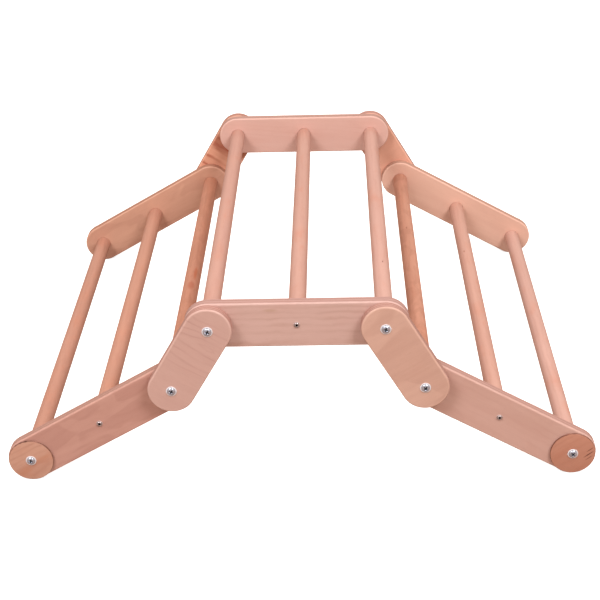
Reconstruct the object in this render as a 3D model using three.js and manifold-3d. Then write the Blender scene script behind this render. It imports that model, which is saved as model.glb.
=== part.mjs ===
// Folding climbing arch for toddlers: three short ladders joined by pivoting link plates.
// Each ladder has two plywood rails and three beech rungs. Flat link plates outside the rails join
// neighbouring ladders, so the frame sets up as an arch, lies flat as one long ladder or folds into
// a stack. Flanged bolts run through plate and rail into threaded inserts in the ends of the rungs.
// Millimetres, +Z up, rungs along Y. The origin is on the floor under the middle of the arch.
import * as THREE from 'three';
import { mergeVertices } from 'three/addons/utils/BufferGeometryUtils.js';
import Module from 'manifold-3d';

const wasm = await Module();
wasm.setup();

// Driving dimensions
const RUNG_PITCH = 145; // between neighbouring rungs of one ladder
const RUNG_DIAMETER = 30;
const CLEAR_WIDTH = 886; // between the inner faces of two rails
const BOARD_WIDTH = 80; // rails and link plates
const BOARD_THICKNESS = 20;
const EDGE_CHAMFER = 2; // stands for the rounding of every board's edge
const LINK_PITCH = 128; // between the two bolts of a link plate
const LINK_TILT = THREE.MathUtils.degToRad(59.2); // below level, in the arch
const LADDER_TILT = THREE.MathUtils.degToRad(29.4); // outer ladders below level, in the arch
const MIDDLE_RUNG_SHIFT = { left: 3, right: 0 }; // outer ladders: drilled this much nearer the foot
const DISC_DIAMETER = 77; // thin wooden covers at the feet
const DISC_THICKNESS = 4;
const GAP = 0.3; // between pieces that touch

// Fits and fasteners
const SOCKET_DEPTH = 6; // blind seat for a rung in a rail
const BOLT = { shank: 8, flange: 18, dome: 14, flangeHeight: 1.2, headHeight: 4.4 };
const RUNG_BOLT = { shank: 6, flange: 11, dome: 9, flangeHeight: 1, headHeight: 3.4 };
const THREAD_GRIP = 20; // length of a bolt inside its rung
const INSERT = { outer: 12, length: 18, depth: 1 };
const INSERT_BORE_DEPTH = 28;
const HOLE_CLEARANCE = 0.6; // on the diameter, round every bolt

// Worked out from the dimensions above
const END_RADIUS = BOARD_WIDTH / 2;
const LADDER_PIVOTS = 2 * RUNG_PITCH;
const RAIL_INNER = CLEAR_WIDTH / 2;
const RAIL_OUTER = RAIL_INNER + BOARD_THICKNESS;
const PLATE_INNER = RAIL_OUTER + GAP;
const PLATE_OUTER = PLATE_INNER + BOARD_THICKNESS;
const DISC_OUTER = PLATE_INNER + DISC_THICKNESS;
const RUNG_END = RAIL_INNER + SOCKET_DEPTH - GAP;

// Facets
const ARC_STEP = THREE.MathUtils.degToRad(10); // round the end of a board
const DISC_FACETS = 44;
const ROUND_FACETS = 24;
const SMALL_FACETS = 12;

// The outer ladders stand on one facet of each round end, level in the arch.
const FOOT_FLAT = LADDER_TILT - Math.PI / 2;
const LEVEL = 0;
const PIVOT_HEIGHT = END_RADIUS * Math.cos(ARC_STEP / 2)
  + LINK_PITCH * Math.sin(LINK_TILT) + LADDER_PIVOTS * Math.sin(LADDER_TILT);

const plywood = new THREE.MeshStandardMaterial({ color: '#d8a995', roughness: 0.6, metalness: 0 });
const beech = new THREE.MeshStandardMaterial({ color: '#e2aa90', roughness: 0.5, metalness: 0 });
const endWood = new THREE.MeshStandardMaterial({ color: '#c4876a', roughness: 0.6, metalness: 0 });
const steel = new THREE.MeshStandardMaterial({ color: '#c9ced6', roughness: 0.25, metalness: 1 });
const zinc = new THREE.MeshStandardMaterial({ color: '#b9b39c', roughness: 0.45, metalness: 1 });

// A closed geometry as a manifold solid.
function toSolid(geometry) {
  const bare = geometry.index ? geometry.toNonIndexed() : geometry.clone();
  bare.deleteAttribute('normal');
  bare.deleteAttribute('uv');
  const merged = mergeVertices(bare, 1e-4);
  return new wasm.Manifold(new wasm.Mesh({
    numProp: 3,
    vertProperties: merged.attributes.position.array,
    triVerts: new Uint32Array(merged.index.array),
  }));
}

function toGeometry(solid) {
  const mesh = solid.getMesh();
  const geometry = new THREE.BufferGeometry();
  geometry.setAttribute('position', new THREE.BufferAttribute(mesh.vertProperties, 3));
  geometry.setIndex(new THREE.BufferAttribute(mesh.triVerts, 1));
  geometry.computeVertexNormals();
  return geometry;
}

function cut(geometry, tools) {
  return toGeometry(tools.reduce((left, tool) => left.subtract(toSolid(tool)), toSolid(geometry)));
}

function turned(profile, facets) {
  return new THREE.LatheGeometry(profile.map(([r, y]) => new THREE.Vector2(r, y)), facets);
}

// A round tool along Y from y0 to y1, centred at x, for a hole or a socket.
function roundTool(diameter, x, y0, y1, facets) {
  return new THREE.CylinderGeometry(diameter / 2, diameter / 2, y1 - y0, facets)
    .translate(x, (y0 + y1) / 2, 0);
}

// Corner angles of a round end, from its outward direction, with a facet centred on flatAt.
function endAngles(flatAt) {
  const quarter = Math.PI / 2;
  const angles = [-quarter, quarter];
  const first = Math.ceil((-quarter - flatAt) / ARC_STEP - 0.5);
  for (let i = first; flatAt + (i + 0.5) * ARC_STEP < quarter - 0.01; i += 1) {
    const angle = flatAt + (i + 0.5) * ARC_STEP;
    if (angle > -quarter + 0.01) angles.push(angle);
  }
  return angles.sort((a, b) => a - b);
}

// A board with round ends in the XZ plane, from y 0 to minus its thickness, end centres at x0, x1.
function roundEndedBoard(x0, x1, flatAt) {
  const angles = endAngles(flatAt);
  const corner = (x, sign, angle) =>
    new THREE.Vector2(x + sign * END_RADIUS * Math.cos(angle), END_RADIUS * Math.sin(angle));
  const outline = new THREE.Shape([
    ...angles.map((angle) => corner(x1, 1, angle)),
    ...angles.toReversed().map((angle) => corner(x0, -1, angle)),
  ]);
  return new THREE.ExtrudeGeometry(outline, {
    depth: BOARD_THICKNESS - 2 * EDGE_CHAMFER,
    bevelThickness: EDGE_CHAMFER,
    bevelSize: EDGE_CHAMFER,
    bevelOffset: -EDGE_CHAMFER,
    bevelSegments: 1,
  }).translate(0, 0, EDGE_CHAMFER).rotateX(Math.PI / 2);
}

// A rail with its outer face at y -thickness: a blind socket for each rung and a hole for its bolt.
function railGeometry(stations, flatAt) {
  const board = roundEndedBoard(stations[0].x, stations.at(-1).x, flatAt);
  const sockets = stations.map(({ x }) =>
    roundTool(RUNG_DIAMETER + 2 * GAP, x, -SOCKET_DEPTH, 1, ROUND_FACETS));
  const holes = stations.map(({ x, bolt }) =>
    roundTool(bolt.shank + HOLE_CLEARANCE, x, -BOARD_THICKNESS - 1, 1, SMALL_FACETS));
  return cut(board, [...sockets, ...holes]);
}

function linkGeometry(x0, x1) {
  const holes = [x0, x1].map((x) =>
    roundTool(BOLT.shank + HOLE_CLEARANCE, x, -BOARD_THICKNESS - 1, 1, SMALL_FACETS));
  return cut(roundEndedBoard(Math.min(x0, x1), Math.max(x0, x1), LEVEL), holes);
}

function discGeometry() {
  const outer = DISC_DIAMETER / 2;
  const inner = (BOLT.shank + HOLE_CLEARANCE) / 2;
  return turned([[inner, -DISC_THICKNESS], [outer, -DISC_THICKNESS], [outer, 0], [inner, 0],
    [inner, -DISC_THICKNESS]], DISC_FACETS);
}

// A rung along Y, bored at both ends for its inserts.
function rungGeometry() {
  const radius = RUNG_DIAMETER / 2;
  const bore = INSERT.outer / 2 + GAP;
  const chamfer = 1;
  const oneEnd = (side) => [
    [radius, side * (RUNG_END - chamfer)],
    [radius - chamfer, side * RUNG_END],
    [bore, side * RUNG_END],
    [bore, side * (RUNG_END - INSERT_BORE_DEPTH)],
    [0, side * (RUNG_END - INSERT_BORE_DEPTH)],
  ];
  return turned([...oneEnd(-1).reverse(), ...oneEnd(1)], ROUND_FACETS);
}

// A bolt along Y: its flange bears at y 0, the domed head stands out towards +Y.
function boltGeometry({ shank, flange, dome, flangeHeight, headHeight }, length) {
  const tip = 1;
  const domeSteps = 3;
  const domeArc = Array.from({ length: domeSteps }, (_, i) => {
    const angle = (i / domeSteps) * (Math.PI / 2);
    return [dome / 2 * Math.cos(angle), flangeHeight + (headHeight - flangeHeight) * Math.sin(angle)];
  });
  const body = turned([[0, -length], [shank / 2 - tip, -length], [shank / 2, -length + tip],
    [shank / 2, 0], [flange / 2, 0], [flange / 2, flangeHeight], ...domeArc, [0, headHeight]],
  SMALL_FACETS);
  const slotWidth = 0.13 * dome;
  const slotLength = 0.6 * dome;
  const slotDepth = 0.5 * headHeight;
  const slots = [0, Math.PI / 2].map((turn) =>
    new THREE.BoxGeometry(slotLength, 2 * slotDepth, slotWidth).rotateY(turn + 0.1)
      .translate(0, headHeight, 0));
  return cut(body, slots);
}

// A threaded insert along Y, plain inside and out, with its mouth at y 0.
function insertGeometry(boltShank) {
  const outer = INSERT.outer / 2;
  const inner = boltShank / 2 + GAP;
  return turned([[inner, -INSERT.length], [outer, -INSERT.length], [outer, 0], [inner, 0],
    [inner, -INSERT.length]], SMALL_FACETS);
}

function add(parent, name, geometry, material, x = 0, y = 0) {
  const mesh = new THREE.Mesh(geometry, material);
  mesh.name = name;
  mesh.position.set(x, y, 0);
  parent.add(mesh);
  return mesh;
}

// A turned piece that points outwards (+Y) from the back, or from the front if side is -1.
function addOutward(parent, name, geometry, material, x, side, distance) {
  const mesh = add(parent, name, geometry, material, x, side * distance);
  mesh.rotation.z = side < 0 ? Math.PI : 0;
}

const FACES = [['front', -1], ['back', 1]];

// One ladder. Each station is a rung: its place along X, its bolt and what the bolt's head bears on.
function addLadder(parent, name, flatAt, stations) {
  const rail = railGeometry(stations.toSorted((a, b) => a.x - b.x), flatAt);
  const backRail = rail.clone().scale(1, -1, 1);
  backRail.setIndex([...backRail.index.array].reverse());
  add(parent, `${name}_rail_front`, rail, plywood, 0, -RAIL_INNER);
  add(parent, `${name}_rail_back`, backRail, plywood, 0, RAIL_INNER);
  for (const { x, rung, bolt, label, bearing } of stations) {
    add(parent, `${name}_rung_${rung}`, rungGeometry(), beech, x);
    const length = bearing - RUNG_END + THREAD_GRIP;
    for (const [face, side] of FACES) {
      addOutward(parent, `${name}_${label}_${face}`, boltGeometry(bolt, length), steel,
        x, side, bearing);
      addOutward(parent, `${name}_insert_${rung}_${face}`, insertGeometry(bolt.shank), zinc,
        x, side, RUNG_END - INSERT.depth);
    }
  }
}

const middleStation = (x) =>
  ({ x, rung: 'middle', bolt: RUNG_BOLT, label: 'rung_bolt', bearing: RAIL_OUTER });

const arch = new THREE.Group();
arch.name = 'folding_climbing_arch';

const centre = new THREE.Group();
centre.position.z = PIVOT_HEIGHT;
arch.add(centre);
addLadder(centre, 'centre', LEVEL, [
  { x: -RUNG_PITCH, rung: 'left', bolt: BOLT, label: 'pivot_bolt_left', bearing: PLATE_OUTER },
  middleStation(0),
  { x: RUNG_PITCH, rung: 'right', bolt: BOLT, label: 'pivot_bolt_right', bearing: PLATE_OUTER },
]);

// Each side hangs on the centre ladder: link plates first, then the outer ladder on the plates.
for (const [name, side] of [['left', -1], ['right', 1]]) {
  const links = new THREE.Group();
  links.position.x = side * RUNG_PITCH;
  links.rotation.y = side * LINK_TILT;
  centre.add(links);
  for (const [face, out] of FACES) {
    const inner = out < 0 ? -PLATE_INNER : PLATE_OUTER;
    add(links, `${name}_link_${face}`, linkGeometry(0, side * LINK_PITCH), plywood, 0, inner);
  }

  const ladder = new THREE.Group();
  ladder.position.x = side * LINK_PITCH;
  ladder.rotation.y = side * (LADDER_TILT - LINK_TILT);
  links.add(ladder);
  const foot = side * LADDER_PIVOTS;
  addLadder(ladder, name, FOOT_FLAT, [
    { x: 0, rung: 'inner', bolt: BOLT, label: 'pivot_bolt', bearing: PLATE_OUTER },
    middleStation(side * (RUNG_PITCH + MIDDLE_RUNG_SHIFT[name])),
    { x: foot, rung: 'outer', bolt: BOLT, label: 'foot_bolt', bearing: DISC_OUTER },
  ]);
  for (const [face, out] of FACES) {
    const inner = out < 0 ? -PLATE_INNER : DISC_OUTER;
    add(ladder, `${name}_foot_disc_${face}`, discGeometry(), endWood, foot, inner);
  }
}

export default arch;
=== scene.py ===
import math

import bmesh
import bpy
from mathutils import Matrix, Vector
from mathutils.geometry import tessellate_polygon


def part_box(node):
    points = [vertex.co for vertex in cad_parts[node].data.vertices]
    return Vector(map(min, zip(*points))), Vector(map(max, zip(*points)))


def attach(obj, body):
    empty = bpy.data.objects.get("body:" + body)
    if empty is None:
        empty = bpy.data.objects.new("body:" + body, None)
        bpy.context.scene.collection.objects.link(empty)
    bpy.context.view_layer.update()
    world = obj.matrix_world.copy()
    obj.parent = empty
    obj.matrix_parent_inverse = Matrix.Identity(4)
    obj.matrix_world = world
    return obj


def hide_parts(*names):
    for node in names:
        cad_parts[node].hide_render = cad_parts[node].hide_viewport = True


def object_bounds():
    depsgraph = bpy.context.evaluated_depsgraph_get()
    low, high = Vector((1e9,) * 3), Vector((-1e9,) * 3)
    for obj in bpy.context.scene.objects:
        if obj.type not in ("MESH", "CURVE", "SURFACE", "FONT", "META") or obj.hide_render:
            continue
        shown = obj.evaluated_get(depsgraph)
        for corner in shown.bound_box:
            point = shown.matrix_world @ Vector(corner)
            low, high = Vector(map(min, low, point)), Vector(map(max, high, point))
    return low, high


# Folding climbing arch: plywood rails and link plates, beech rungs, zinc plated bolts.
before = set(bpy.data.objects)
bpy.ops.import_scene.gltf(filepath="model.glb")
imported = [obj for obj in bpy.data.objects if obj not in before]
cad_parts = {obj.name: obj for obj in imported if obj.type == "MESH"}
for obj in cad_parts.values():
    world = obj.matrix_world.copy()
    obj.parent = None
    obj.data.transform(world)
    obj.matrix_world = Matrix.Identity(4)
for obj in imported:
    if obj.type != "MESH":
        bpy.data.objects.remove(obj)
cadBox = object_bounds()
scene = bpy.context.scene
millimetre = 0.001


# small helpers for shader sheets
class Wire:
    # one output socket; plain arithmetic on it adds Math nodes to the same sheet
    def __init__(self, tree, socket=None):
        self.tree = tree
        self.socket = socket

    def node(self, kind, settings=None, inputs=None, output=0):
        # settings go in first, then the values or links of the input sockets
        made = self.tree.nodes.new("ShaderNode" + kind)
        for key, value in (settings or {}).items():
            if key == "stops":
                fillRamp(made.color_ramp, value)
            else:
                setattr(made, key, value)
        for key, value in (inputs or {}).items():
            target = findSocket(made, key)
            if isinstance(value, Wire):
                self.tree.links.new(value.socket, target)
            else:
                target.default_value = value
        return Wire(self.tree, made.outputs[output])

    def math(self, operation, *values):
        return self.node("Math", {"operation": operation}, dict(enumerate(values)))

    def vector(self, operation, *values):
        return self.node("VectorMath", {"operation": operation}, dict(enumerate([self, *values])))

    def __add__(self, other):
        return self.math("ADD", self, other)

    def __radd__(self, other):
        return self.math("ADD", other, self)

    def __sub__(self, other):
        return self.math("SUBTRACT", self, other)

    def __rsub__(self, other):
        return self.math("SUBTRACT", other, self)

    def __mul__(self, other):
        return self.math("MULTIPLY", self, other)

    def __rmul__(self, other):
        return self.math("MULTIPLY", other, self)

    def __truediv__(self, other):
        return self.math("DIVIDE", self, other)

    def __pow__(self, other):
        return self.math("POWER", self, other)

    def size(self):
        return self.math("ABSOLUTE", self)

    def root(self):
        return self.math("SQRT", self)

    def whole(self):
        return self.math("FLOOR", self)

    def part(self):
        return self.math("FRACT", self)

    def swing(self):
        # 0 to 1 becomes -0.5 to 0.5
        return self - 0.5

    def wave(self):
        # 0 to 1, once for each whole step
        return 0.5 + 0.5 * self.math("SINE", self * (2 * math.pi))

    def limit(self, low=0.0, high=1.0):
        return self.node("Clamp", None, {"Value": self, "Min": low, "Max": high})

    def ease(self, low, high):
        # 0 below low, 1 above high, smooth between
        return self.node("MapRange", {"interpolation_type": "SMOOTHSTEP"},
                         {"Value": self, "From Min": low, "From Max": high})

    def axes(self):
        made = self.node("SeparateXYZ", None, {0: self})
        outputs = made.socket.node.outputs
        return [Wire(self.tree, outputs[i]) for i in range(3)]

    def between(self, first, second):
        # colour: first where this wire is 0, second where it is 1
        return self.node("Mix", {"data_type": "RGBA"},
                         {"Factor_Float": self, "A_Color": first, "B_Color": second}, 2)

    def noise(self, scale, detail=3.0, roughness=0.5, distortion=0.0):
        # this wire is a vector; scale is in cycles per unit along each axis
        return self.node("TexNoise", {"noise_dimensions": "3D"},
                         {"Vector": self.vector("MULTIPLY", scale), "Scale": 1.0, "Detail": detail,
                          "Roughness": roughness, "Distortion": distortion})


def findSocket(made, key):
    if isinstance(key, int):
        return made.inputs[key]
    for socket in made.inputs:
        if key in (socket.identifier, socket.name):
            return socket
    raise KeyError(f"{made.bl_idname} has no input {key}")


def fillRamp(ramp, stops):
    while len(ramp.elements) > 1:
        ramp.elements.remove(ramp.elements[-1])
    for i, (place, colour) in enumerate(stops):
        element = ramp.elements[0] if i == 0 else ramp.elements.new(place)
        element.position = place
        element.color = colour


def paint(red, green, blue):
    # a screen colour, 0 to 255, as the shader wants it
    def linear(value):
        value = value / 255
        return value / 12.92 if value <= 0.04045 else ((value + 0.055) / 1.055) ** 2.4
    return (linear(red), linear(green), linear(blue), 1.0)


def newFinish(name):
    material = bpy.data.materials.new(name)
    material.use_nodes = True
    tree = material.node_tree
    tree.nodes.clear()
    output = tree.nodes.new("ShaderNodeOutputMaterial")
    shader = tree.nodes.new("ShaderNodeBsdfPrincipled")
    tree.links.new(shader.outputs[0], output.inputs["Surface"])
    return material, Wire(tree), shader


def feed(shader, **sockets):
    # joins wires, or sets plain values, on the main shader
    for key, value in sockets.items():
        target = findSocket(shader, key.replace("_", " "))
        if isinstance(value, Wire):
            value.tree.links.new(value.socket, target)
        else:
            target.default_value = value


# mesh helpers: everything below is in millimetres in the piece's own axes
class Shell:
    # gathers vertices and faces, with the shading direction of every corner
    def __init__(self):
        self.points = []
        self.faces = []
        self.corners = []

    def add(self, points):
        first = len(self.points)
        self.points += [tuple(p) for p in points]
        return list(range(first, len(self.points)))

    def face(self, indices, normals):
        # turns the face over if it points against its shading direction
        a, b, c = (Vector(self.points[i]) for i in indices[:3])
        lean = sum((Vector(n) for n in normals), Vector())
        if (b - a).cross(c - a).dot(lean) < 0:
            indices, normals = indices[::-1], normals[::-1]
        self.faces.append(indices)
        self.corners += [tuple(n) for n in normals]

    def band(self, first, second, firstNormals, secondNormals):
        # quads between two closed rings
        count = len(first)
        for i in range(count):
            j = (i + 1) % count
            self.face([first[i], first[j], second[j], second[i]],
                      [firstNormals[i], firstNormals[j], secondNormals[j], secondNormals[i]])

    def flat(self, rings, normal):
        # a level face with holes: the outline first, then the holes
        loops = [[Vector(self.points[i]) for i in ring] for ring in rings]
        indices = [i for ring in rings for i in ring]
        for triangle in tessellate_polygon(loops):
            self.face([indices[i] for i in triangle], [normal] * 3)

    def build(self, name, material):
        mesh = bpy.data.meshes.new(name)
        points = [tuple(value * millimetre for value in p) for p in self.points]
        mesh.from_pydata(points, [], self.faces)
        mesh.polygons.foreach_set("use_smooth", [True] * len(self.faces))
        mesh.normals_split_custom_set(self.corners)
        # the piece's own axes stay on its vertices, so the grain follows it wherever it is laid
        own = mesh.attributes.new("ownAxes", "FLOAT_VECTOR", "POINT")
        own.data.foreach_set("vector", [value for p in self.points for value in p])
        mesh.update()
        piece = bpy.data.objects.new(name, mesh)
        scene.collection.objects.link(piece)
        mesh.materials.append(material)
        return piece


def roundEdge(inset, steps):
    # a quarter round from a face to the side: (inset from the side, depth below the face, lean)
    return [(inset - inset * math.sin(t), inset - inset * math.cos(t), t)
            for t in (math.pi / 2 * i / steps for i in range(steps + 1))]


def circle(x, z, radius, y, steps):
    turns = [2 * math.pi * i / steps for i in range(steps)]
    return [(x + radius * math.cos(t), y, z + radius * math.sin(t)) for t in turns]


def board(name, material, length, radius, thickness, edgeRound, holes):
    # a plank with round ends, its outer face at y = -thickness / 2; x runs along it
    shell = Shell()
    half = length / 2
    endSteps, edgeSteps, holeSteps = 44, 5, 40
    outline = [(half, -math.pi / 2 + math.pi * i / endSteps) for i in range(endSteps + 1)]
    outline += [(-half, math.pi / 2 + math.pi * i / endSteps) for i in range(endSteps + 1)]

    def ring(inset, y):
        return [(x + (radius - inset) * math.cos(t), y, (radius - inset) * math.sin(t))
                for x, t in outline]

    def lean(angle, side):
        # straight out of the face at angle 0, out of the edge at a quarter turn
        return [(math.sin(angle) * math.cos(t), side * math.cos(angle),
                 math.sin(angle) * math.sin(t)) for _, t in outline]

    steps = [(inset, -thickness / 2 + depth, angle, -1)
             for inset, depth, angle in roundEdge(edgeRound, edgeSteps)]
    steps += [(inset, thickness / 2 - depth, angle, 1)
              for inset, depth, angle in roundEdge(edgeRound, edgeSteps)[::-1]]
    rings = [(shell.add(ring(inset, y)), lean(angle, side)) for inset, y, angle, side in steps]
    for (first, firstLean), (second, secondLean) in zip(rings, rings[1:]):
        shell.band(first, second, firstLean, secondLean)

    outerLoops, innerLoops = [rings[0][0]], [rings[-1][0]]
    for hole in holes:
        into = [(-math.cos(t), 0, -math.sin(t))
                for t in (2 * math.pi * i / holeSteps for i in range(holeSteps))]
        outerMouth = shell.add(circle(hole["x"], 0, hole["bolt"] / 2, -thickness / 2, holeSteps))
        outerLoops.append(outerMouth)
        if hole.get("socket"):
            floorY = thickness / 2 - hole["depth"]
            small = shell.add(circle(hole["x"], 0, hole["bolt"] / 2, floorY, holeSteps))
            wide = shell.add(circle(hole["x"], 0, hole["socket"] / 2, floorY, holeSteps))
            mouth = shell.add(circle(hole["x"], 0, hole["socket"] / 2, thickness / 2, holeSteps))
            shell.band(outerMouth, small, into, into)
            shell.band(small, wide, [(0, 1, 0)] * holeSteps, [(0, 1, 0)] * holeSteps)
            shell.band(wide, mouth, into, into)
            innerLoops.append(mouth)
        else:
            mouth = shell.add(circle(hole["x"], 0, hole["bolt"] / 2, thickness / 2, holeSteps))
            shell.band(outerMouth, mouth, into, into)
            innerLoops.append(mouth)
    shell.flat(outerLoops, (0, -1, 0))
    shell.flat(innerLoops, (0, 1, 0))
    return shell.build(name, material)


def turned(name, material, profile, steps, reshape=None):
    # a solid of revolution about y; profile is a list of (radius, y, corner), corner True for a
    # crisp edge, and reshape moves each point afterwards
    shell = Shell()
    turns = [2 * math.pi * i / steps for i in range(steps)]
    count = len(profile)

    def slope(a, b):
        # the direction that the stretch from a to b faces, as (radial, y)
        dr, dy = b[0] - a[0], b[1] - a[1]
        size = math.hypot(dr, dy) or 1.0
        return dy / size, -dr / size

    rings = []
    for radius, y, _ in profile:
        points = [(radius * math.cos(t), y, radius * math.sin(t)) for t in turns]
        if reshape:
            points = [reshape(*p) for p in points]
        rings.append(shell.add(points[:1] if radius == 0 else points))
    for i in range(count - 1):
        here = slope(profile[i], profile[i + 1])
        before = slope(profile[i - 1], profile[i]) if i else here
        after = slope(profile[i + 1], profile[i + 2]) if i + 2 < count else here
        ends = []
        for other, crisp in ((before, profile[i][2]), (after, profile[i + 1][2])):
            face = here if crisp else ((here[0] + other[0]) / 2, (here[1] + other[1]) / 2)
            ends.append([(face[0] * math.cos(t), face[1], face[0] * math.sin(t)) for t in turns])
        first, second = rings[i], rings[i + 1]
        if len(first) > 1 and len(second) > 1:
            shell.band(first, second, ends[0], ends[1])
            continue
        for k in range(steps):
            # a fan closes the solid on its axis
            m = (k + 1) % steps
            if len(first) == 1:
                shell.face([first[0], second[k], second[m]], [ends[0][k], ends[1][k], ends[1][m]])
            else:
                shell.face([first[k], first[m], second[0]], [ends[0][k], ends[0][m], ends[1][k]])
    return shell.build(name, material)


# finishes: what any piece of wood starts from; a piece's own dictionary changes some of it
plainWood = {"tone": 0.4, "sway": 16, "ringRipple": 4, "ringWobble": 0.5, "ringEdge": 3, "ringAmount": 0.12,
             "ringBase": 0.25, "ringReach": 400, "ringFade": 0.6, "bandAmount": 0.8, "patchAmount": 0.0,
             "patchScale": (0.009, 0.02, 0.028), "fibreAmount": 0.3, "threadAmount": 0.22,
             "dashAmount": 0.22, "blushAmount": 0.25, "bump": 0.2, "bumpDepth": 0.0003, "sheen": 0.3,
             "ior": 1.45, "rough": 0.5, "fibreRough": 0.22, "dashRough": 0.08, "roughLimits": (0.2, 0.9),
             "spots": []}
# cycles per millimetre along, through and across the grain, then detail and roughness
woodNoise = {"drift": ((0.008, 0.02, 0.022), 2.0), "ripple": ((0.025, 0.05, 0.07), 2.0),
             "faint": ((0.012, 0.03, 0.03), 2.0), "bands": ((0.005, 0.04, 0.045), 3.0, 0.5),
             "fibre": ((0.014, 0.9, 0.9), 5.0, 0.62), "threads": ((0.035, 2.6, 2.6), 2.0, 0.5),
             "dashes": ((0.11, 1.7, 1.7), 2.0, 0.5), "blush": ((0.011, 0.03, 0.035), 3.0, 0.6)}
# where each mask starts and is full
woodEase = {"faint": (0.3, 0.7), "patches": (0.47, 0.54), "dashes": (0.60, 0.74), "blush": (0.48, 0.78)}
patchNoise = {"detail": 1.0, "roughness": 0.4, "distortion": 0.8}
relief = {"fibre": 0.7, "threads": 0.3, "dashes": 0.5, "speck": 0.6, "glue": 0.8}
seedStep = (91.7, 37.3, 53.9)  # takes each piece to its own stretch of the noise
# handling rubs the round edges of the boards smoother, and they are painted paler, partly as rubbed wear
# and partly as a painted highlight: millimetres in from the edge
arris = {"width": 4.2, "widthFade": 2.4, "depth": 3.4, "depthFade": 1.6,
         "patchNoise": ((0.05, 0.4, 0.05), 2.0), "patchEase": (0.3, 0.7), "least": 0.45, "amount": 0.5,
         "smooth": 0.1}
spotEase = (0.3, 1.0)  # how a knot, a streak or a mark of painted shadow fades outwards, in parts of its size
farOff = 1000.0  # millimetres, past the end of any board


def addSpot(colour, raw, ripple, spot, grain):
    # a knot, a streak or a mark of painted shadow: its place on the piece, and its half length and half
    # width
    long, wide = spot["size"]
    scale = {"x": (1 / long, 1 / wide, 1 / wide), "y": (1 / wide, 1 / long, 1 / wide),
             "z": (1 / wide, 1 / wide, 1 / long)}[grain]
    away = raw.vector("SUBTRACT", spot["place"]).vector("MULTIPLY", scale)
    reach = away.node("VectorMath", {"operation": "LENGTH"}, {0: away}, 1)
    reach = reach + ripple * spot.get("ragged", 0.5)
    return ((1 - reach.ease(*spotEase)) * spot["strength"]).between(colour, paint(*spot["tone"]))


def pastEnd(x, length):
    # how far a point lies past the centre of the nearer round end
    return x.size() - length / 2


def plyLayers(raw, bands, ply, grain):
    # the cut edge of a board: which part of it is edge, its colour with painted shade along its inner side,
    # its specks and its glue lines
    x, y, _ = raw.axes()
    thick, layers = ply["thickness"], ply["layers"]
    step = (y + thick / 2) / (thick / layers)
    odd = (step.whole() / 2).part() * 2
    if grain == "z":
        odd = 1 - odd
    inside = (thick / 2 - y.size()).ease(thick / layers - ply["seam"], thick / layers + ply["seam"])
    tip = (pastEnd(x, ply["length"]) / ply["radius"]).ease(*ply["tipEase"])
    endGrain = odd + tip - 2 * odd * tip
    speck = raw.noise(*ply["speckNoise"])
    glue = 1 - (step + 0.5).part().swing().size().ease(*ply["glueEase"])
    tone = endGrain * ply["contrast"] + speck.swing() * ply["mottle"] + bands.swing() * ply["mottle"]
    edge = tone.limit().between(paint(*ply["light"]), paint(*ply["dark"]))
    dark = paint(*ply["glue"])
    for place in ply["darkLayers"]:
        heart = 1 - (step - place).size().ease(*ply["darkEase"])
        edge = (heart * ply["darkAmount"]).between(edge, dark)
    edge = (glue * ply["glueAmount"]).between(edge, dark)
    # painted shade along the inner side of the cut edge, in the glue colour
    sideShade = (y - ply["sideShadeFrom"]).ease(0.0, ply["sideShadeOver"])
    sideShade = sideShade * (ply["sideShadeBase"] + speck * ply["sideShadeSpeck"]) * ply["sideShadeAmount"]
    return inside, sideShade.between(edge, dark), speck, glue


# where the rounded arrises are painted paler: partly rubbed wear, partly a painted highlight
def wornArris(raw, ply):
    x, y, z = raw.axes()
    outside = (pastEnd(x, ply["length"]).limit(0, farOff) ** 2 + z * z).root()
    rim = (outside - (ply["radius"] - arris["width"])).ease(0.0, arris["widthFade"])
    face = (y.size() - (ply["thickness"] / 2 - arris["depth"])).ease(0.0, arris["depthFade"])
    patchy = raw.noise(*arris["patchNoise"]).ease(*arris["patchEase"])
    return rim * face * (arris["least"] + patchy * (1 - arris["least"]))


def darkRim(colour, raw, rim):
    # the rim of a thin disc, darkened in patches
    x, _, z = raw.axes()
    rimPatches = raw.noise(*rim["patchNoise"]).ease(*rim["patchEase"])
    edge = (x * x + z * z).root() - (rim["radius"] - rim["width"])
    edge = edge.ease(0.0, rim["width"] * rim["fade"]) * (rim["least"] + rimPatches * (1 - rim["least"]))
    return (edge * rim["amount"]).between(colour, paint(*rim["tone"]))


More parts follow.
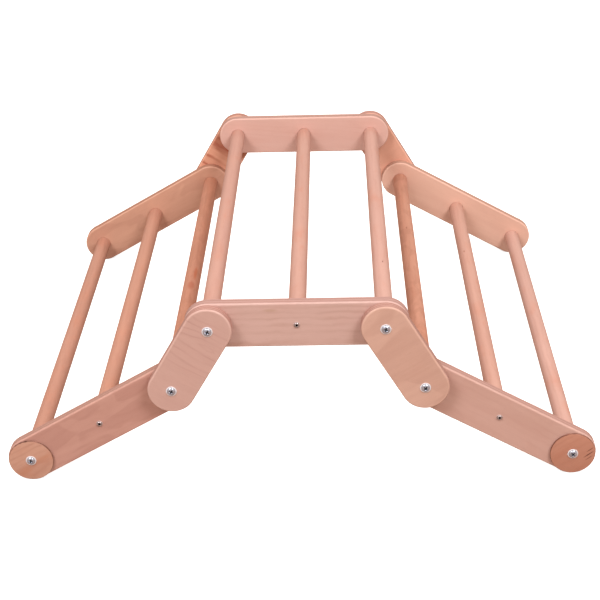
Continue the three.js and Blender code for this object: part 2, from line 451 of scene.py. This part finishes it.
def woodFinish(name, given):
    # millimetres in the piece's own axes; grain names the axis that the wood runs along
    cut = dict(plainWood, **given)
    material, start, shader = newFinish(name)
    raw = start.node("Attribute", {"attribute_name": "ownAxes"}, None, "Vector")
    x, y, z = raw.axes()
    along, deep, across = {"x": (x, y, z), "y": (y, x, z), "z": (z, y, x)}[cut["grain"]]
    local = start.node("CombineXYZ", None, {0: along, 1: deep, 2: across})
    local = local.vector("ADD", tuple(cut["seed"] * step for step in seedStep))
    field = {key: local.noise(*values) for key, values in woodNoise.items()}
    fibre, threads, bands = field["fibre"], field["threads"], field["bands"]
    drift, ripple = field["drift"].swing(), field["ripple"].swing()

    # growth rings: distance from a pith line that dips slowly through the piece
    pithAcross, pithDepth, dip = cut["pith"]
    u = across + pithAcross + drift * cut["sway"]
    v = deep + pithDepth + along * dip + ripple * cut["ringRipple"]
    radius = (u * u + v * v).root()
    rings = (radius / cut["ringPitch"] + ripple * cut["ringWobble"]).wave() ** cut["ringEdge"]
    rings = rings * (cut["ringBase"] + field["faint"].ease(*woodEase["faint"]))
    rings = rings * (1 - radius.ease(cut["ringReach"] * cut["ringFade"], cut["ringReach"]))

    # soft bands, sharper patches of flamed figure, then fine fibre
    patches = local.noise(cut["patchScale"], **patchNoise).ease(*woodEase["patches"])
    tone = (cut["tone"] + bands.swing() * cut["bandAmount"] + rings * cut["ringAmount"]
            + patches.swing() * cut["patchAmount"] + fibre.swing() * cut["fibreAmount"]
            + threads.swing() * cut["threadAmount"]).limit()
    colour = tone.between(paint(*cut["light"]), paint(*cut["dark"]))

    # short dark dashes of beech, and warmer blushes
    dashes = field["dashes"].ease(*woodEase["dashes"])
    colour = (dashes * cut["dashAmount"]).between(colour, paint(*cut["dash"]))
    blush = field["blush"].ease(*woodEase["blush"])
    colour = (blush * cut["blushAmount"]).between(colour, paint(*cut["blush"]))
    for spot in cut["spots"]:
        colour = addSpot(colour, raw, ripple, spot, cut["grain"])

    rough = cut["rough"] + fibre.swing() * cut["fibreRough"] + dashes * cut["dashRough"]
    height = fibre * relief["fibre"] + threads * relief["threads"] - dashes * relief["dashes"]
    if "ply" in cut:
        inside, edge, speck, glue = plyLayers(raw, bands, cut["ply"], cut["grain"])
        colour = inside.between(colour, edge)
        rough = rough + inside * cut["ply"]["rough"]
        height = height + inside * (speck * relief["speck"] - glue * relief["glue"])
        # the rounded arrises are painted paler, partly as rubbed wear and partly as a painted highlight,
        # and made smoother
        worn = wornArris(raw, cut["ply"])
        colour = (worn * arris["amount"]).between(colour, paint(*cut["worn"]))
        rough = rough - worn * arris["smooth"]
    if "rim" in cut:
        colour = darkRim(colour, raw, cut["rim"])
    normal = start.node("Bump", None, {"Strength": cut["bump"], "Distance": cut["bumpDepth"],
                                       "Height": height})
    feed(shader, Base_Color=colour, Roughness=rough.limit(*cut["roughLimits"]), Normal=normal,
         IOR=cut["ior"])
    shader.inputs["Specular IOR Level"].default_value = cut["sheen"]
    return material


# turned and plated metal: cycles per millimetre, then how much each one shows
metalLook = {"cloud": ((0.35, 0.35, 0.35), 4.0, 0.6), "grit": ((5.0, 5.0, 5.0), 2.0, 0.6), "turning": 3.1,
             "turnWobble": 1.5, "cloudTone": 1.2, "gritTone": 0.5, "cloudRough": 0.18, "gritRough": 0.16,
             "turnHeight": 0.4, "bump": 0.15, "bumpDepth": 0.0001, "roughLimits": (0.08, 0.9)}
# painted shade in the recess and round the dome: millimetres, and parts of the dome's diameter
grimeLook = {"depthEase": (0.25, 1.1), "recessEase": (0.40, 0.46), "domeEase": (0.46, 0.52),
             "stepEase": (0.05, 0.7), "stepAmount": 0.45, "rough": 0.3}


def metalFinish(name, metal):
    material, start, shader = newFinish(name)
    raw = start.node("TexCoord", None, None, "Object").vector("MULTIPLY", (1 / millimetre,) * 3)
    x, y, z = raw.axes()
    cloud = raw.noise(*metalLook["cloud"])
    grit = raw.noise(*metalLook["grit"])
    out = (x * x + z * z).root()
    turning = (out * metalLook["turning"] + cloud * metalLook["turnWobble"]).wave()
    tone = 0.5 + cloud.swing() * metalLook["cloudTone"] + grit.swing() * metalLook["gritTone"]
    colour = tone.limit().between(paint(*metal["light"]), paint(*metal["dark"]))
    rough = metal["rough"] + cloud.swing() * metalLook["cloudRough"] + grit.swing() * metalLook["gritRough"]
    metallic = metal["metallic"]
    if "dome" in metal:
        # painted shade sits in the recess, below the curve of the dome, and at the foot of the dome
        dome, base, top = metal["dome"], metal["flangeHeight"], metal["headHeight"]
        grime = paint(*metal["grime"])
        curve = (1 - (out / (dome / 2)).limit(0, 1) ** 2).limit(0, 1).root() * (top - base) + base
        recess = 1 - out.ease(*(dome * part for part in grimeLook["recessEase"]))
        sunk = (curve - y).ease(*grimeLook["depthEase"]) * recess
        onDome = 1 - out.ease(*(dome * part for part in grimeLook["domeEase"]))
        colour = (onDome * metal["domeAmount"]).between(colour, paint(*metal["domeTone"]))
        colour = (sunk * metal["grimeAmount"]).between(colour, grime)
        rough = rough + sunk * grimeLook["rough"]
        # the flange is dulled by its plating, the dome is rubbed bright
        metallic = metal["flangeMetallic"] + onDome * (metal["metallic"] - metal["flangeMetallic"])
        # a ring of painted shade in the crease at the foot of the dome
        step = 1 - (out - dome / 2).size().ease(*grimeLook["stepEase"])
        colour = (step * grimeLook["stepAmount"]).between(colour, grime)
    normal = start.node("Bump", None, {"Strength": metalLook["bump"], "Distance": metalLook["bumpDepth"],
                                       "Height": turning * metalLook["turnHeight"] + grit})
    feed(shader, Base_Color=colour, Roughness=rough.limit(*metalLook["roughLimits"]), Normal=normal,
         Metallic=metallic)
    return material


# places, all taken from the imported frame
def middle(node):
    low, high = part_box(node)
    return (low + high) / 2


def span(node, axis):
    low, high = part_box(node)
    return high[axis] - low[axis]


def lay(piece, first, second, y, mirror):
    # x runs from first to second in the XZ plane; mirror turns the outer face to the back
    run = second - first
    tilt = math.atan2(run.z, run.x)
    centre = (first + second) / 2
    turn = Matrix.Rotation(-tilt, 4, "Y")
    if mirror:
        turn = turn @ Matrix.Rotation(math.pi, 4, "X")
    piece.data.transform(Matrix.Translation((centre.x, y, centre.z)) @ turn)


ladderEnds = {"left": ("inner", "middle", "outer"), "centre": ("left", "middle", "right"),
              "right": ("inner", "middle", "outer")}
rungs = {name: {place: middle(f"{name}_rung_{place}") for place in places}
         for name, places in ladderEnds.items()}
bodyOf = {"left": "left_section", "centre": "centre_section", "right": "right_section"}
faces = ("front", "back")

# plywood rails: the cut edge's layers, glue lines and painted shade along its inner side
plyEdge = {"thickness": 20.0, "layers": 13, "radius": 40.0, "contrast": 0.45, "seam": 0.08,
           "tipEase": (0.1, 0.9), "speckNoise": ((1.3, 2.4, 1.3), 3.0, 0.6), "mottle": 0.5,
           "glue": (150, 92, 80), "glueAmount": 0.3, "glueEase": (0.03, 0.12),
           "darkLayers": (3.5, 8.5), "darkAmount": 0.5, "darkEase": (0.35, 0.65),
           "sideShadeFrom": 5.0, "sideShadeOver": 4.5, "sideShadeBase": 0.7, "sideShadeSpeck": 0.6, "sideShadeAmount": 0.55,
           "rough": 0.12}
edgeShade, wornLift = 0.86, 14  # end-grain layers are darker; rubbed arrises are painted lighter, partly as wear and partly as a painted highlight


def plyOf(length, tone):
    # the cut edge shows pale long-grain layers between darker end-grain ones
    return dict(plyEdge, length=length, light=tone, dark=tuple(round(c * edgeShade) for c in tone))


def wornTone(light):
    return tuple(min(255, c + wornLift) for c in light)


boards = {"radius": 40.0, "thickness": 20.0, "edgeRound": 3.0, "socket": 30.6, "socketDepth": 6.0,
          "pivotHole": 8.6, "rungHole": 6.6}
railCuts = {
    "centre_front": {
        "edge": (198, 159, 151), "seed": 1, "light": (217, 184, 177), "dark": (196, 159, 148),
        "dash": (173, 132, 120), "blush": (199, 154, 144), "pith": (60, 90, 0.0), "ringPitch": 7.5,
        "sway": 7, "ringAmount": 0.42, "ringEdge": 2, "bandAmount": 0.5,
        "spots": [{"place": (-42, -10, 27), "size": (16, 4), "strength": 0.35, "tone": (176, 140, 108)}]},
    "centre_back": {
        "edge": (197, 157, 145), "seed": 2, "light": (228, 190, 180), "dark": (214, 168, 156),
        "dash": (187, 140, 129), "blush": (213, 164, 150), "pith": (-50, 40, 0.12), "ringPitch": 9.0,
        "ringAmount": 0.1,
        # a darker reddish spot below and left of the middle rung's end: partly painted shadow under the
        # rung, partly glue
        "spots": [{"place": (-8, 10, 28), "size": (9, 4), "strength": 0.4, "tone": (176, 120, 102)}]},
    "left_front": {
        "edge": (190, 148, 135), "seed": 3, "light": (206, 160, 147), "dark": (184, 136, 125),
        "dash": (167, 117, 106), "blush": (186, 136, 122), "pith": (5, 24, 0.10), "ringPitch": 11.0,
        "ringAmount": 0.12, "patchAmount": 0.3, "patchScale": (0.012, 0.02, 0.034), "bandAmount": 0.5},
    "left_back": {
        "edge": (188, 139, 117), "seed": 4, "light": (217, 169, 146), "dark": (195, 145, 126),
        "dash": (175, 122, 103), "blush": (196, 143, 122), "pith": (-12, 40, 0.08), "ringPitch": 9.0,
        "patchAmount": 0.3, "patchScale": (0.012, 0.02, 0.03), "bandAmount": 1.1},
    "right_front": {
        "edge": (200, 159, 149), "seed": 5, "light": (212, 174, 163), "dark": (195, 153, 141),
        "dash": (175, 130, 119), "blush": (196, 150, 138), "pith": (80, 60, 0.06), "ringPitch": 10.0,
        "patchAmount": 0.15},
    "right_back": {
        "edge": (205, 162, 143), "seed": 6, "light": (237, 196, 178), "dark": (220, 174, 156),
        "dash": (195, 149, 130), "blush": (219, 167, 150), "pith": (22, 70, 0.03), "ringPitch": 9.0,
        "patchAmount": 0.1},
}


def makeRail(ladder, face):
    first, mid, last = (rungs[ladder][place] for place in ladderEnds[ladder])
    length = (last - first).length / millimetre
    cut = dict(railCuts[f"{ladder}_{face}"], grain="x")
    cut["worn"] = wornTone(cut["light"])
    cut["ply"] = plyOf(length, cut["edge"])
    # the middle rung has the small bolt
    midX = (mid - (first + last) / 2).dot((last - first).normalized()) / millimetre
    holes = [{"x": x, "bolt": bolt, "socket": boards["socket"], "depth": boards["socketDepth"]}
             for x, bolt in ((-length / 2, boards["pivotHole"]), (midX, boards["rungHole"]),
                             (length / 2, boards["pivotHole"]))]
    piece = board(f"{ladder}_ply_rail_{face}", woodFinish(f"ply {ladder} rail {face}", cut), length,
                  boards["radius"], boards["thickness"], boards["edgeRound"], holes)
    node = f"{ladder}_rail_{face}"
    lay(piece, first, last, middle(node).y, face == "back")
    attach(piece, bodyOf[ladder])
    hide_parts(node)


for ladder in ladderEnds:
    for face in faces:
        makeRail(ladder, face)
print("rails made")

# plywood link plates, with the face grain across the plate
# link plates: more dark layers, and lighter painted shade along the inner side of the cut edge
linkEdge = {"darkLayers": (2.5, 6.0, 9.5), "darkAmount": 0.62, "sideShadeAmount": 0.35}
linkCuts = {
    "left_front": {
        "edge": (202, 158, 148), "seed": 11, "light": (217, 182, 172), "dark": (188, 145, 136),
        "dash": (175, 129, 118), "blush": (207, 163, 152), "pith": (34, 7, 0.24), "ringPitch": 11.0,
        "ringAmount": 0.32, "ringEdge": 6, "ringReach": 60, "bandAmount": 0.5, "sway": 30},
    "left_back": {
        "edge": (196, 146, 130), "seed": 12, "light": (244, 188, 160), "dark": (184, 113, 92),
        "dash": (174, 101, 77), "blush": (218, 139, 113), "pith": (20, 22, 0.06), "ringPitch": 15.0,
        "ringAmount": 0.9, "ringEdge": 3, "sway": 6},
    "right_front": {
        "edge": (202, 158, 147), "seed": 13, "light": (218, 179, 163), "dark": (196, 154, 139),
        "dash": (176, 130, 114), "blush": (204, 159, 142), "pith": (60, 50, 0.1), "ringPitch": 14.0,
        "patchAmount": 0.32, "patchScale": (0.012, 0.02, 0.016)},
    "right_back": {
        "edge": (200, 154, 142), "seed": 14, "light": (236, 183, 162), "dark": (214, 160, 137),
        "dash": (189, 134, 112), "blush": (220, 158, 133), "pith": (-20, 40, 0.06), "ringPitch": 12.0},
}
linkEnds = {"left": ("left", "inner"), "right": ("right", "inner")}


def makeLink(side, face):
    top, low = rungs["centre"][linkEnds[side][0]], rungs[side][linkEnds[side][1]]
    length = (low - top).length / millimetre
    cut = dict(linkCuts[f"{side}_{face}"], grain="z")
    cut["worn"] = wornTone(cut["light"])
    cut["ply"] = dict(plyOf(length, cut["edge"]), **linkEdge)
    holes = [{"x": x, "bolt": boards["pivotHole"]} for x in (-length / 2, length / 2)]
    piece = board(f"{side}_ply_link_{face}", woodFinish(f"ply {side} link {face}", cut), length,
                  boards["radius"], boards["thickness"], boards["edgeRound"], holes)
    node = f"{side}_link_{face}"
    lay(piece, top, low, middle(node).y, face == "back")
    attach(piece, f"{side}_links")
    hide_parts(node)


for side in linkEnds:
    for face in faces:
        makeLink(side, face)
print("link plates made")

# beech rungs
rungShape = {"diameter": 30.0, "endRound": 1.5, "roundSteps": 4, "bore": 12.6, "boreDepth": 28.0,
             "steps": 72}
beech = {"grain": "y", "dash": (184, 120, 96), "blush": (208, 140, 114), "pith": (9, 14, 0.012),
         "ringPitch": 5.5, "sway": 5, "ringAmount": 0.22, "ringEdge": 2, "blushAmount": 0.4,
         "bandAmount": 0.9, "dashAmount": 0.3, "patchScale": (0.02, 0.05, 0.05)}


def onRung(y, angle):
    # a place on a rung's barrel: how far along it, and the turn from +x towards +z
    turn = math.radians(angle)
    return (rungShape["diameter"] / 2 * math.cos(turn), y, rungShape["diameter"] / 2 * math.sin(turn))


rungCuts = {
    "centre_left": {"seed": 21, "light": (209, 166, 151), "dark": (192, 144, 133)},
    "centre_middle": {"seed": 22, "light": (210, 168, 154), "dark": (194, 148, 135)},
    "centre_right": {
        "seed": 23, "light": (214, 173, 161), "dark": (199, 154, 141),
        "spots": [{"place": onRung(-254.7, 80), "size": (5.0, 1.3), "strength": 0.85,
                   "tone": (110, 62, 52), "ragged": 0.2}]},
    "left_inner": {
        "seed": 24, "light": (212, 152, 128), "dark": (189, 131, 108), "patchAmount": 0.2,
        "spots": [{"place": onRung(-54, 64), "size": (36, 5.2), "strength": 0.75, "tone": (196, 112, 80)},
                  {"place": onRung(-108, 80), "size": (24, 9.0), "strength": 0.6, "tone": (190, 108, 84)}]},
    "left_middle": {"seed": 25, "light": (206, 156, 135), "dark": (188, 135, 117)},
    "left_outer": {"seed": 26, "light": (202, 152, 133), "dark": (182, 132, 114), "dashAmount": 0.5},
    "right_inner": {
        "seed": 27, "light": (218, 161, 138), "dark": (190, 134, 113), "patchAmount": 0.25,
        "spots": [{"place": onRung(143, 92), "size": (7, 2.2), "strength": 0.6, "tone": (150, 84, 66)}]},
    "right_middle": {
        "seed": 28, "light": (215, 171, 156), "dark": (196, 149, 134),
        "spots": [{"place": onRung(180.5, 110), "size": (7, 2.4), "strength": 0.6, "tone": (160, 92, 72)}]},
    "right_outer": {"seed": 29, "light": (218, 177, 165), "dark": (198, 154, 141)},
}


def makeRung(ladder, place):
    node = f"{ladder}_rung_{place}"
    length = span(node, 1) / millimetre
    radius, bore, deep = rungShape["diameter"] / 2, rungShape["bore"] / 2, rungShape["boreDepth"]
    end = length / 2
    # half of the outline, from the bottom of the bore to the barrel; the other half mirrors it
    half = [(0, end - deep, False), (bore, end - deep, True), (bore, end, True)]
    for inset, depth, _ in roundEdge(rungShape["endRound"], rungShape["roundSteps"]):
        half.append((radius - inset, end - depth, False))
    profile = [(r, -y, c) for r, y, c in half] + [(r, y, c) for r, y, c in half[::-1]]
    cut = dict(beech, **rungCuts[f"{ladder}_{place}"])
    piece = turned(f"{ladder}_beech_rung_{place}", woodFinish(f"beech {ladder} rung {place}", cut), profile,
                   rungShape["steps"])
    piece.data.transform(Matrix.Translation(middle(node)))
    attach(piece, bodyOf[ladder])
    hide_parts(node)


for ladder, places in ladderEnds.items():
    for place in places:
        makeRung(ladder, place)
print("rungs made")

# thin wooden discs at the feet
disc = {"diameter": 77.0, "thickness": 4.0, "edgeRound": 1.2, "roundSteps": 4, "hole": 8.6, "steps": 96}
discWood = {"grain": "x", "dash": (160, 100, 80), "blush": (186, 120, 96), "pith": (20, 30, 0.1),
            "ringPitch": 9.0, "ringAmount": 0.3,
            "rim": {"radius": disc["diameter"] / 2, "width": 1.1, "fade": 0.7, "amount": 0.8, "least": 0.35,
                    "tone": (96, 54, 40), "patchNoise": ((0.09, 0.5, 0.09), 2.0),
                    "patchEase": (0.25, 0.6)}}
# grainTurn, liftAt and the arc of painted gap shadow are in degrees; lift is how far the rim stands off, in
# millimetres
discCuts = {
    "left_front": {
        "seed": 31, "light": (212, 168, 147), "dark": (188, 137, 120), "grainTurn": 32,
        "blush": (195, 127, 95), "blushAmount": 0.55, "lift": 1.4, "liftAt": 130, "gapShadowArc": (98, 172)},
    "left_back": {
        "seed": 32, "light": (216, 162, 140), "dark": (190, 134, 114), "grainTurn": 75,
        "lift": 0.3, "liftAt": 40},
    "right_front": {
        "seed": 33, "light": (202, 148, 127), "dark": (175, 117, 97), "grainTurn": 38, "ringAmount": 0.12,
        "bandAmount": 0.5, "lift": 0.2, "liftAt": 200,
        "spots": [{"place": (20, -2, -18), "size": (13, 1.3), "strength": 0.8, "tone": (70, 36, 26)},
                  {"place": (27, -2, -12), "size": (9, 1.0), "strength": 0.7, "tone": (80, 42, 30)},
                  {"place": (16, -2, -24), "size": (9, 1.0), "strength": 0.6, "tone": (90, 48, 34)}]},
    "right_back": {
        "seed": 34, "light": (216, 162, 140), "dark": (190, 134, 114), "grainTurn": -30,
        "lift": 0.3, "liftAt": 90},
}
# painted shadow marks for the gap under the disc's lifted rim
gapShadow = {"marks": 6, "out": 0.3, "y": -0.8, "long": 6.4, "shorter": 0.8, "wide": 3.6, "strength": 0.95,
          "tone": (44, 24, 20)}


def gapShadowMarks(given):
    # broken marks of painted shadow round part of the rim, where the disc stands off the rail
    first, last = given["gapShadowArc"]
    reach = disc["diameter"] / 2 + gapShadow["out"]
    marks = []
    for i in range(gapShadow["marks"]):
        angle = math.radians(first + (last - first) * i / (gapShadow["marks"] - 1) - given["grainTurn"])
        marks.append({"place": (reach * math.cos(angle), gapShadow["y"], reach * math.sin(angle)),
                      "size": (gapShadow["long"] - gapShadow["shorter"] * (i % 3), gapShadow["wide"]),
                      "strength": gapShadow["strength"], "tone": gapShadow["tone"]})
    return marks


def makeDisc(side, face):
    node = f"{side}_foot_disc_{face}"
    cut = dict(discWood, **discCuts[f"{side}_{face}"])
    # marks of painted shadow go round the rim where the disc stands off the rail
    cut["spots"] = cut.get("spots", []) + (gapShadowMarks(cut) if "gapShadowArc" in cut else [])
    radius, thick, hole = disc["diameter"] / 2, disc["thickness"], disc["hole"] / 2
    outer = [(radius - inset, -thick / 2 + depth, False)
             for inset, depth, _ in roundEdge(disc["edgeRound"], disc["roundSteps"])]
    inner = [(r, -y, c) for r, y, c in outer[::-1]]
    bore = [(hole, thick / 2, True), (hole, -thick / 2, True)]
    profile = bore + outer + inner + bore[:1]
    turn, lift = math.radians(cut["grainTurn"]), cut["lift"]
    # the thin disc cups a little: its rim stands off the rail on one side
    liftAt = math.radians(cut["liftAt"]) - turn

    def cup(x, y, z):
        toward = (x * math.cos(liftAt) + z * math.sin(liftAt)) / radius
        return x, y - lift * max(0.0, toward) ** 2, z

    piece = turned(f"{side}_wood_disc_{face}", woodFinish(f"wood {side} disc {face}", cut), profile,
                   disc["steps"], cup)
    place = Matrix.Translation(middle(node)) @ Matrix.Rotation(-turn, 4, "Y")
    if face == "back":
        place = place @ Matrix.Rotation(math.pi, 4, "X")
    piece.data.transform(place)
    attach(piece, bodyOf[side])
    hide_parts(node)


for side in linkEnds:
    for face in faces:
        makeDisc(side, face)
print("foot discs made")

# flanged bolts with a cross recess; crossWidth is half the width of an arm, in parts of the dome's radius
bigBolt = {"crossWidth": 0.21, "shank": 8.0, "flange": 18.0, "dome": 14.0, "flangeHeight": 1.2,
           "headHeight": 4.4}
boltShapes = {
    "pivot": dict(bigBolt, length=54.6),
    "foot": dict(bigBolt, length=38.6),
    "rung": {"crossWidth": 0.38, "shank": 6.0, "flange": 11.0, "dome": 9.0, "flangeHeight": 1.0,
             "headHeight": 3.4, "length": 34.3, "light": (226, 208, 204), "dark": (196, 172, 166),
             "domeTone": (186, 176, 184), "grime": (14, 14, 20), "grimeAmount": 1.0},
}
# zinc plate; its darkest colour is painted shade for the recess and the foot of the dome
plated = {"light": (250, 250, 255), "dark": (226, 228, 240), "domeTone": (176, 192, 224),
          "domeAmount": 0.6, "grime": (38, 42, 54), "grimeAmount": 0.93, "rough": 0.28, "metallic": 0.85,
          "flangeMetallic": 0.12}
boltMaking = {"point": 1, "steps": 64, "domeSteps": 12, "sharpAngle": 28}
# the tapered cross: its arms' reach in parts of the dome's radius, its floor in parts of the head's height
recess = {"above": 1, "floor": 0.42, "reach": 0.66, "floorReach": 0.40, "taper": 0.7}


def makeCutter(shape):
    # two crossed bars that narrow towards the floor of the recess
    dome, cutter = shape["dome"] / 2, bmesh.new()
    top, low = shape["headHeight"] + recess["above"], shape["headHeight"] * recess["floor"]
    levels = ((top, recess["reach"], shape["crossWidth"]),
              (low, recess["floorReach"], shape["crossWidth"] * recess["taper"]))
    for turn in (0.0, math.pi / 2):
        corners = []
        for y, reach, wide in levels:
            for sx, sz in ((-1, -1), (1, -1), (1, 1), (-1, 1)):
                px, pz = sx * reach * dome, sz * wide * dome
                corner = Vector((px * math.cos(turn) - pz * math.sin(turn), y,
                                 px * math.sin(turn) + pz * math.cos(turn)))
                corners.append(cutter.verts.new(corner * millimetre))
        a, b = corners[:4], corners[4:]
        cutter.faces.new(a)
        cutter.faces.new(b[::-1])
        for i in range(4):
            j = (i + 1) % 4
            cutter.faces.new((a[j], a[i], b[i], b[j]))
    bmesh.ops.recalc_face_normals(cutter, faces=cutter.faces)
    crossMesh = bpy.data.meshes.new("cross")
    cutter.to_mesh(crossMesh)
    cutter.free()
    cross = bpy.data.objects.new("cross", crossMesh)
    scene.collection.objects.link(cross)
    return cross


def makeBoltMesh(kind, shape):
    # the head stands out towards +y from its bearing face at y 0
    rim = shape["flangeHeight"]
    rise = shape["headHeight"] - rim
    shank, flange, dome = shape["shank"] / 2, shape["flange"] / 2, shape["dome"] / 2
    point, domeSteps = boltMaking["point"], boltMaking["domeSteps"]
    profile = [(0, -shape["length"], False), (shank - point, -shape["length"], True),
               (shank, point - shape["length"], True), (shank, 0, True)]
    # the flange's edge is eased below and above: millimetres in from its rim, and its height
    profile += [(flange - 0.3, 0, True), (flange, 0.3, False), (flange, rim - 0.5, False),
                (flange - 0.2, rim - 0.15, False), (flange - 0.6, rim, False), (dome, rim, True)]
    profile += [(dome * math.cos(t), rim + rise * math.sin(t), False)
                for t in (math.pi / 2 * i / domeSteps for i in range(1, domeSteps))]
    profile += [(0, shape["headHeight"], False)]
    piece = turned(f"{kind}_bolt_shape", metalFinish(f"zinc plate {kind} bolt", dict(plated, **shape)),
                   profile, boltMaking["steps"])
    cross = makeCutter(shape)
    carve = piece.modifiers.new("recess", "BOOLEAN")
    carve.object, carve.operation, carve.solver, carve.use_self = cross, "DIFFERENCE", "EXACT", True
    carved = piece.evaluated_get(bpy.context.evaluated_depsgraph_get())
    cutMesh = bpy.data.meshes.new_from_object(carved)
    cutMesh.name = f"{kind} bolt"
    cutMesh.polygons.foreach_set("use_smooth", [True] * len(cutMesh.polygons))
    cutMesh.set_sharp_from_angle(angle=math.radians(boltMaking["sharpAngle"]))
    bpy.data.objects.remove(piece)
    bpy.data.objects.remove(cross)
    return cutMesh


def makeBolt(node, kind, face, body, turn):
    low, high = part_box(node)
    height = boltShapes[kind]["headHeight"] * millimetre
    bearing = low.y + height if face == "front" else high.y - height
    piece = bpy.data.objects.new(node.replace("bolt", "screw"), boltMeshes[kind])
    scene.collection.objects.link(piece)
    place = Matrix.Translation(((low.x + high.x) / 2, bearing, (low.z + high.z) / 2))
    place = place @ Matrix.Rotation(math.radians(turn), 4, "Y")
    if face == "front":
        place = place @ Matrix.Rotation(math.pi, 4, "X")
    piece.matrix_world = place
    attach(piece, body)
    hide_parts(node)


boltMeshes = {kind: makeBoltMesh(kind, shape) for kind, shape in boltShapes.items()}
# how far each cross is turned, in degrees; the rest follow one after another
boltTurns = {"centre_pivot_bolt_left_front": 22, "centre_pivot_bolt_right_front": 8,
             "left_pivot_bolt_front": 30, "right_pivot_bolt_front": 35, "left_foot_bolt_front": 12,
             "right_foot_bolt_front": 40, "centre_rung_bolt_front": 5, "left_rung_bolt_front": 15,
             "right_rung_bolt_front": 28}
otherTurn, wholeTurn = 17, 90
for i, node in enumerate(sorted(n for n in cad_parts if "_bolt" in n)):
    kind = "foot" if "foot" in node else "rung" if "rung_bolt" in node else "pivot"
    ladder, face = node.split("_")[0], node.split("_")[-1]
    makeBolt(node, kind, face, bodyOf[ladder], boltTurns.get(node, otherTurn * i % wholeTurn))
print("bolts made")

# threaded inserts stay as packed, out of sight in the rung ends
insertMetal = {"light": (214, 200, 150), "dark": (170, 150, 104), "rough": 0.38, "metallic": 1.0}
yellowZinc = metalFinish("yellow zinc", insertMetal)
for name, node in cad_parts.items():
    if "_insert_" in name:
        node.data.materials.clear()
        node.data.materials.append(yellowZinc)
print("inserts plated")

# floor, light and camera
studio = {"reach": 60.0, "drop": 0.0003, "cardDrop": 0.001, "white": (250, 250, 250), "glow": 0.85,
          "spread": 0.8, "backGlow": 1.1, "rough": 0.9, "card": (158, 136, 120),
          "worldColour": (255, 234, 218), "worldPower": 0.62, "ballSegments": 48, "ballRings": 24}
softbox = {"aim": (0, 0, 0.15), "size": 3.2}
lamps = {"leftSoftbox": {"place": (-3.7, -4.4, 6.3), "power": 320},
         "rightSoftbox": {"place": (3.9, -4.4, 6.3), "power": 374},
         "backSoftbox": {"place": (0.4, 5.6, 4.0), "power": 60, "gloss": False}}
view = {"place": (0.0672, -2.5579, 1.3757), "down": 26.752, "heading": 1.901, "roll": -1.766,
        "lens": 86.67, "shift": (0.0089, 0.0169), "clip": (0.05, 100)}


def makeSheet(name, height, size, finish):
    half = size / 2
    sheet = bmesh.new()
    corners = ((-half, -half, 0), (half, -half, 0), (half, half, 0), (-half, half, 0))
    sheet.faces.new([sheet.verts.new(corner) for corner in corners])
    mesh = bpy.data.meshes.new(name)
    sheet.to_mesh(mesh)
    sheet.free()
    mesh.materials.append(finish)
    piece = bpy.data.objects.new(name, mesh)
    scene.collection.objects.link(piece)
    piece.location.z = height
    return piece


def paleFinish(name, colour, spread, glow):
    material, _, shader = newFinish(name)
    shade = paint(*colour)
    feed(shader, Base_Color=tuple(c * spread for c in shade[:3]) + (1.0,), Roughness=studio["rough"],
         Emission_Color=shade, Emission_Strength=glow)
    shader.inputs["Specular IOR Level"].default_value = 0.0
    return material


def makeFloor():
    # the white floor and backdrop are for the eye; a greyer card under them gives the bounce light
    ground = cadBox[0].z - studio["drop"]
    white = paleFinish("white floor", studio["white"], studio["spread"], studio["glow"])
    grey = paleFinish("grey card", studio["card"], 1.0, 0.0)
    floor = makeSheet("floor", ground, studio["reach"], white)
    card = makeSheet("bounce_card", ground - studio["cardDrop"], studio["reach"], grey)
    ball = bmesh.new()
    bmesh.ops.create_uvsphere(ball, u_segments=studio["ballSegments"], v_segments=studio["ballRings"],
                              radius=studio["reach"] / 2)
    mesh = bpy.data.meshes.new("backdrop")
    ball.to_mesh(mesh)
    ball.free()
    mesh.materials.append(paleFinish("white backdrop", studio["white"], 0.0, studio["backGlow"]))
    backdrop = bpy.data.objects.new("backdrop", mesh)
    scene.collection.objects.link(backdrop)
    for piece in (floor, backdrop):
        piece.visible_diffuse = piece.visible_glossy = False
        piece.visible_transmission = piece.visible_shadow = False
    card.visible_camera = False


def makeLight():
    for name, lamp in lamps.items():
        data = bpy.data.lights.new(name, "AREA")
        data.shape, data.size, data.energy = "DISK", softbox["size"], lamp["power"]
        piece = bpy.data.objects.new(name, data)
        scene.collection.objects.link(piece)
        piece.visible_glossy = lamp.get("gloss", True)
        direction = Vector(softbox["aim"]) - Vector(lamp["place"])
        piece.location = lamp["place"]
        piece.rotation_euler = direction.to_track_quat("-Z", "Y").to_euler()
    world = bpy.data.worlds.new("soft room")
    world.use_nodes = True
    sky = world.node_tree.nodes["Background"]
    sky.inputs["Color"].default_value = paint(*studio["worldColour"])
    sky.inputs["Strength"].default_value = studio["worldPower"]
    scene.world = world
    scene.view_settings.view_transform = "Standard"


def makeCamera():
    data = bpy.data.cameras.new("camera")
    data.lens = view["lens"]
    data.shift_x, data.shift_y = view["shift"]
    data.clip_start, data.clip_end = view["clip"]
    camera = bpy.data.objects.new("camera", data)
    scene.collection.objects.link(camera)
    turn = Matrix.Rotation(math.radians(view["heading"]), 4, "Z")
    turn = turn @ Matrix.Rotation(math.radians(90 - view["down"]), 4, "X")
    turn = turn @ Matrix.Rotation(math.radians(view["roll"]), 4, "Z")
    camera.matrix_world = Matrix.Translation(view["place"]) @ turn
    scene.camera = camera


makeFloor()
makeLight()
makeCamera()
print("stage made")
